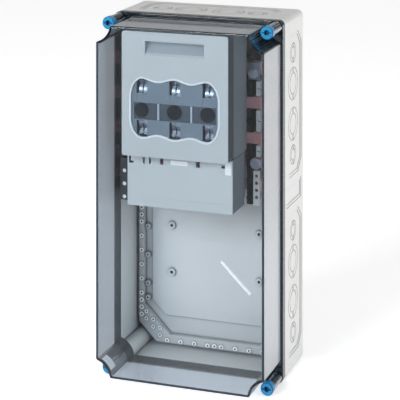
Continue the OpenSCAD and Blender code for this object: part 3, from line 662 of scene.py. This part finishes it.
def ring(mesh, outline, depth):
    """Vertices on an outline at a depth counted forwards from the wall."""
    return [mesh.verts.new((x, -depth, z)) for x, z in outline]


def skin(mesh, loops):
    """Quads between successive loops of equal length."""
    for a, b in zip(loops, loops[1:]):
        for i in range(len(a)):
            j = (i + 1) % len(a)
            mesh.faces.new((a[i], a[j], b[j], b[i]))


def fill(mesh, loops):
    """Flat face between an outer loop and the loops inside it."""
    edges = []
    for loop in loops:
        for i in range(len(loop)):
            edges.append(
                mesh.edges.get((loop[i], loop[i - 1])) or mesh.edges.new((loop[i], loop[i - 1]))
            )
    bmesh.ops.triangle_fill(mesh, edges=edges, use_beauty=True, use_dissolve=False)


def finish_piece(mesh, name, material, body, replaced=(), true_flats=False):
    """Turns a mesh into a piece that rides on a body and may stand in for CAD nodes."""
    bmesh.ops.recalc_face_normals(mesh, faces=mesh.faces)
    data = bpy.data.meshes.new(name)
    mesh.to_mesh(data)
    mesh.free()
    obj = bpy.data.objects.new(name, data)
    SCENE.collection.objects.link(obj)
    paint(obj, material)
    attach(obj, body)
    if replaced:
        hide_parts(*replaced)
    shade_smooth(obj, true_flats)


def foot_rings(mesh, outline_of, depth, radius, steps=3):
    """Loops that turn a face into the wall in front of it; a radius below 0 fills a hollow corner."""
    loops = []
    for i in range(steps + 1):
        turn = math.pi / 2 * i / steps
        rise = abs(radius) * (1 - math.cos(turn))
        loops.append(ring(mesh, outline_of(radius * (1 - math.sin(turn))), depth + rise))
    return loops


def rounded_rings(mesh, outline_of, depth, radius, steps=5):
    """Loops that turn a wall into the face in front of it over a rounded edge.

    outline_of(e) is the outline moved in by e."""
    loops = []
    for i in range(steps + 1):
        turn = math.pi / 2 * i / steps
        step_in = radius * (1 - math.cos(turn))
        loops.append(ring(mesh, outline_of(step_in), depth - radius * (1 - math.sin(turn))))
    return loops


# ---------- the clear lid ----------

SEAL_OUT, SEAL_IN, SEAL_ARC, SEAL_SOFT, SEAL_T = 0.0025, 0.0055, 0.0115, 0.0012, 0.0025
FLANGE_CORNER = 0.010
EACH_CORNER = [(sx, sz) for sx in (1, -1) for sz in (1, -1)]


def seal_line(e):
    """The outer edge of the seal moved in by e."""
    return notched(
        HALF_W - SEAL_OUT - e, HALF_H - SEAL_OUT - e, SEAL_ARC + e, SEAL_SOFT, (FAST_X, FAST_Z)
    )


def build_lid():
    mesh = bmesh.new()
    out_x, out_z = HALF_W - SIDE_INSET, HALF_H - END_INSET

    def outer(e):
        return notched(out_x - e, out_z - e, NOTCH + e, 0.0042 - e, NOTCH_AT)

    def inner(e):
        reach = WALL + e
        return notched(
            out_x - reach, out_z - reach, NOTCH + reach, 0.0022 - e, NOTCH_AT, steps=28, rib=0.0006
        )

    def flange_line(e):
        return plain_box(HALF_W - e, HALF_H - e, FLANGE_CORNER - e)

    walls = foot_rings(mesh, outer, FLANGE_FRONT, -0.0012)
    walls += rounded_rings(mesh, outer, LID_FRONT, 0.0026)
    skin(mesh, walls)
    fill(mesh, [walls[-1]])
    hollow = [ring(mesh, inner(0), LID_BACK)]
    hollow += rounded_rings(mesh, inner, LID_FRONT - WALL, 0.0014)
    skin(mesh, hollow)
    fill(mesh, [hollow[-1]])
    flange = foot_rings(mesh, flange_line, LID_BACK, 0.0008)
    flange += rounded_rings(mesh, flange_line, FLANGE_FRONT, 0.0016, steps=4)
    skin(mesh, flange)

    # sleeves round the fasteners, as radius and depth from the flange to the bore in the back
    springs_low, springs_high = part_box("fastener_springs")
    sleeve_front = -springs_low.y + 0.0004
    step = -springs_high.y - 0.0002
    sleeve = (
        (0.0108, FLANGE_FRONT),
        (0.0102, FLANGE_FRONT + 0.0003),
        (0.0100, FLANGE_FRONT + 0.0010),
        (0.0100, sleeve_front - 0.0006),
        (0.0094, sleeve_front),
        (0.0084, sleeve_front),
        (0.0080, sleeve_front - 0.0004),
        (0.0080, step),
        (0.0051, step),
        (0.0051, LID_BACK),
    )
    front_holes, back_holes = [], []
    for sx, sz in EACH_CORNER:
        loops = []
        for radius, depth in sleeve:
            circle = arc_points(sx * FAST_X, sz * FAST_Z, radius, 0, 2 * math.pi, 48)[:-1]
            loops.append(ring(mesh, circle, depth))
        skin(mesh, loops)
        front_holes.append(loops[0])
        back_holes.append(loops[-1])
    fill(mesh, [flange[-1], walls[0]] + front_holes)

    # back face with the groove for the seal
    gap = 0.0001
    groove, groove_in = (
        [ring(mesh, seal_line(e), LID_BACK), ring(mesh, seal_line(e), LID_BACK + SEAL_T)]
        for e in (-gap, SEAL_IN - SEAL_OUT + gap)
    )
    skin(mesh, groove)
    skin(mesh, groove_in)
    fill(mesh, [groove[1], groove_in[1]])
    fill(mesh, [flange[0], groove[0]] + back_holes)
    fill(mesh, [groove_in[0], hollow[0]])
    bmesh.ops.remove_doubles(mesh, verts=mesh.verts, dist=1e-7)
    finish_piece(mesh, "clear_lid_shell", lid_clear, "lid", ["lid"], true_flats=True)


def build_seal():
    """Rubber ring with a softly crowned face."""
    mesh = bmesh.new()
    low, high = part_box("lid_seal")
    front, back = -low.y, -high.y
    width = SEAL_IN - SEAL_OUT
    soft = 0.0005
    profile = [(0, front), (0, back + soft)]
    profile += [
        (soft * (1 - math.cos(a)), back + soft * (1 - math.sin(a))) for a in (0.5, 1.0, math.pi / 2)
    ]
    profile += [(width - e, d) for e, d in reversed(profile)]
    loops = [ring(mesh, seal_line(e), d) for e, d in profile]
    skin(mesh, loops + [loops[0]])
    finish_piece(mesh, "lid_gasket", seal_black, "lid", ["lid_seal"])


def build_springs():
    """Round-wire coil under each fastener head, its end turns closed up."""
    mesh = bmesh.new()
    low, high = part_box("fastener_springs")
    front, back = -low.y, -high.y
    wire, radius, turns, per_turn, sides = 0.0007, 0.0066, 7, 28, 8
    count = turns * per_turn
    forward = Vector((0, 1, 0))
    for sx, sz in EACH_CORNER:
        loops = []
        for i in range(count + 1):
            share = i / count
            turn = 2 * math.pi * turns * share
            closed = 0.5 - 0.5 * math.cos(math.pi * share)
            rise = 0.35 * closed + 0.65 * share
            depth = back + wire + (front - back - 2 * wire) * rise
            out = Vector((math.cos(turn), 0, math.sin(turn)))
            centre = Vector((sx * FAST_X, -depth, sz * FAST_Z)) + out * radius
            loop = []
            for side in range(sides):
                around = 2 * math.pi * side / sides
                spot = centre + out * wire * math.cos(around) + forward * wire * math.sin(around)
                loop.append(mesh.verts.new(spot))
            loops.append(loop)
        skin(mesh, loops)
        mesh.faces.new(loops[0])
        mesh.faces.new(loops[-1])
    finish_piece(mesh, "head_springs", spring_steel, "lid", ["fastener_springs"])


# ---------- small parts ----------


def build_carrier_clips():
    """Pressed spring clips on the fuse carriers, which show through the slots of the window."""
    low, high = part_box("fuse_carriers")
    panel_low, panel_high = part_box("window_panel")
    middle = (panel_low.z + panel_high.z) / 2
    carrier = 0.040
    pitch = (high.x - low.x - carrier) / 2
    sheet, finger, gap = 0.0009, 0.0062, 0.0022
    rivet, rivet_flatness, rivet_depth, rivet_reaches = 0.0021, 0.45, 0.0012, (0.0265, 0.0425)
    # reach from the window's centre line, and depth behind the window panel
    curve = ((0.010, 0.0022), (0.020, 0.0019), (0.024, 0.0016), (0.029, 0.0014), (0.033, 0.0034))
    curve += ((0.037, 0.0064), (0.041, 0.0040), (0.045, 0.0012), (0.048, 0.0040), (0.0495, 0.0085))
    mesh = bmesh.new()
    for pole in range(3):
        centre = low.x + carrier / 2 + pole * pitch
        for side in (1, -1):
            for hand in (1, -1):
                near = centre + hand * gap / 2
                far = near + hand * finger
                loops = []
                for reach, behind in curve:
                    y, z = panel_high.y + behind, middle + side * reach
                    corners = ((near, y), (far, y), (far, y + sheet), (near, y + sheet))
                    loops.append([mesh.verts.new((cx, cy, z)) for cx, cy in corners])
                skin(mesh, loops)
                mesh.faces.new(loops[0])
                mesh.faces.new(loops[-1][::-1])
            for reach in rivet_reaches:
                spot = Vector((centre, panel_high.y + rivet_depth, middle + side * reach))
                flat = Matrix.Diagonal((1.0, rivet_flatness, 1.0, 1.0))
                place = Matrix.Translation(spot) @ flat
                bmesh.ops.create_uvsphere(
                    mesh, u_segments=20, v_segments=10, radius=rivet, matrix=place
                )
    finish_piece(mesh, "carrier_clips", clip_steel, "swing_cover")


def build_corner_label():
    """Blank printed label stuck inside the lower left corner hollow of the lid."""
    glue, sheet = 0.0009, 0.0003
    front, back = LID_FRONT - 0.007, LID_FRONT - 0.026
    near = NOTCH + WALL + glue
    far = near + sheet
    middle = Vector((-NOTCH_AT[0], 0, -NOTCH_AT[1]))
    mesh = bmesh.new()
    loops = []
    for angle in range(26, 65, 2):
        turn = math.radians(angle)
        across = Vector((math.cos(turn), 0, math.sin(turn)))
        corners = ((near, back), (near, front), (far, front), (far, back))
        loops.append([mesh.verts.new(middle + across * r + Vector((0, -d, 0))) for r, d in corners])
    skin(mesh, loops)
    mesh.faces.new(loops[0])
    mesh.faces.new(loops[-1][::-1])
    finish_piece(mesh, "corner_label", label_white, "lid")


build_lid()
build_seal()
build_springs()
build_carrier_clips()
build_corner_label()


# ---------- floor, light and camera ----------

CAMERA_TURN = math.radians(19.412)
CAMERA_PLACE = Vector((0.92105, -2.72096, 0.76664))
LENS_MM, SHIFT_MM, SENSOR_MM = 147.6054, 41.5431, 36
STREAK = ((0.0736, -0.0781), (0.1226, -0.1258))
TUBE_DISTANCE, TUBE_WIDTH, TUBE_POWER = 0.35, 0.0045, 0.005


def mirror_rays(tree):
    """1 for rays off a mirror-like surface, and 1 for rays that come straight or through the lid."""
    ray = add(tree, "ShaderNodeLightPath").outputs
    sharp = math_of(tree, "LESS_THAN", ray["Diffuse Depth"], 0.5)
    sharp = product(tree, sharp, largest(tree, ray["Is Glossy Ray"], ray["Is Transmission Ray"]))
    mirrored = product(tree, sharp, math_of(tree, "GREATER_THAN", ray["Glossy Depth"], 0.5))
    through = math_of(tree, "SUBTRACT", sharp, mirrored)
    return mirrored, largest(tree, ray["Is Camera Ray"], through)


def build_floor():
    """A pale floor that mirrors show dark in front of the object and bright behind it."""
    mesh = bmesh.new()
    bmesh.ops.create_grid(mesh, x_segments=1, y_segments=1, size=30)
    data = bpy.data.meshes.new("studio_floor")
    mesh.to_mesh(data)
    mesh.free()
    floor = bpy.data.objects.new("studio_floor", data)
    floor.location = (0, 0, cad_bounds[0].z - 0.001)
    SCENE.collection.objects.link(floor)
    made, tree, point = new_material("floor_look")
    patches = remap(tree, noise(tree, point, 1.5, 3.0), 0.3, 0.7)
    tone = blend(tree, patches, rgba((0.90, 0.90, 0.90)), rgba((0.93, 0.93, 0.93)))
    front = remap(tree, axes_of(tree, point)["Y"], 0.1, -0.5)
    mirrored, seen = mirror_rays(tree)
    tone = blend(tree, product(tree, front, mirrored), tone, rgba((0.03, 0.03, 0.03)))
    rear = product(tree, mirrored, opposite(tree, front), 0.8)
    glow = math_of(tree, "ADD", product(tree, seen, 0.50), rear)
    shining = {"Emission Color": (1, 1, 1, 1), "Emission Strength": glow}
    shader = add(tree, "ShaderNodeBsdfPrincipled", {"Base Color": tone, "Roughness": 0.8} | shining)
    close(tree, shader.outputs["BSDF"])
    paint(floor, made)


def area_light(name, place, target, size, power):
    lamp = bpy.data.lights.new(name, "AREA")
    lamp.energy = power
    lamp.size = size
    obj = bpy.data.objects.new(name, lamp)
    obj.location = place
    obj.rotation_euler = (Vector(target) - Vector(place)).to_track_quat("-Z", "Y").to_euler()
    SCENE.collection.objects.link(obj)


def build_light():
    """Two soft lamps, and a world that is white to the camera and greyer elsewhere."""
    world = bpy.data.worlds.new("studio")
    world.use_nodes = True
    tree = world.node_tree
    tree.nodes.clear()
    mirrored, seen = mirror_rays(tree)
    heading = axes_of(tree, add(tree, "ShaderNodeTexCoord").outputs["Generated"])
    in_mirrors = remap(tree, heading["Y"], -0.55, 0.25, 0.05, 0.5)
    scattered = remap(tree, heading["Z"], -0.1, 0.9, 0.58, 0.36)
    level = add(tree, "ShaderNodeMix", {0: mirrored, 2: scattered, 3: in_mirrors}).outputs[0]
    level = add(tree, "ShaderNodeMix", {0: seen, 2: level, 3: 1.0}).outputs[0]
    back = add(tree, "ShaderNodeBackground", {"Color": (1, 1, 1, 1), "Strength": level})
    add(tree, "ShaderNodeOutputWorld", {"Surface": back.outputs["Background"]})
    SCENE.world = world
    area_light("key", (-1.5, -4.6, 1.9), target=(0, -0.1, 0), size=2.2, power=205)
    area_light("side", (2.6, -1.2, 0.4), target=(0.1, -0.1, 0), size=1.4, power=33)
    SCENE.view_settings.view_transform = "Standard"


def build_streak():
    """A thin studio tube, out of the camera's sight, whose reflection crosses the lower lid front.

    Rays from the camera to the ends of the streak, bounced off the lid, lead to the tube's ends."""
    ends = []
    for x, z in STREAK:
        point = Vector((x, -LID_FRONT, z))
        ray = point - CAMERA_PLACE
        bounced = Vector((ray.x, -ray.y, ray.z)) / abs(ray.y)
        ends.append((point, point + bounced * TUBE_DISTANCE))
    (first, start), (second, stop) = ends
    across = (stop - start).normalized()
    forward = (first + second) / 2 - (start + stop) / 2
    forward = (forward - across * forward.dot(across)).normalized()
    sideways = forward.cross(across)
    lamp = bpy.data.lights.new("tube", "AREA")
    lamp.shape = "RECTANGLE"
    lamp.size = (stop - start).length
    lamp.size_y = TUBE_WIDTH
    lamp.energy = TUBE_POWER
    tube = bpy.data.objects.new("tube", lamp)
    turned = Matrix((across, -sideways, -forward)).transposed().to_4x4()
    tube.matrix_world = Matrix.Translation((start + stop) / 2) @ turned
    tube.visible_camera = False
    tube.visible_diffuse = False
    SCENE.collection.objects.link(tube)


def build_camera():
    """A view camera: upright image plane, lens shifted down, fitted to the object's outline."""
    right = Vector((math.cos(CAMERA_TURN), math.sin(CAMERA_TURN), 0))
    up = Vector((0, 0, 1))
    along = up.cross(right) * LENS_MM - up * SHIFT_MM
    rig = bpy.data.objects.new("camera_rig", None)
    SCENE.collection.objects.link(rig)
    cam = bpy.data.objects.new("camera", bpy.data.cameras.new("camera"))
    cam.data.sensor_width = SENSOR_MM
    cam.data.lens = along.length
    cam.data.clip_start, cam.data.clip_end = 0.05, 100
    SCENE.collection.objects.link(cam)
    cam.parent = rig
    back = -along.normalized()
    columns = Matrix((right, up, back)).transposed().to_4x4()
    cam.matrix_parent_inverse = Matrix.Translation(CAMERA_PLACE) @ columns
    SCENE.camera = cam


build_floor()
build_light()
build_streak()
build_camera()
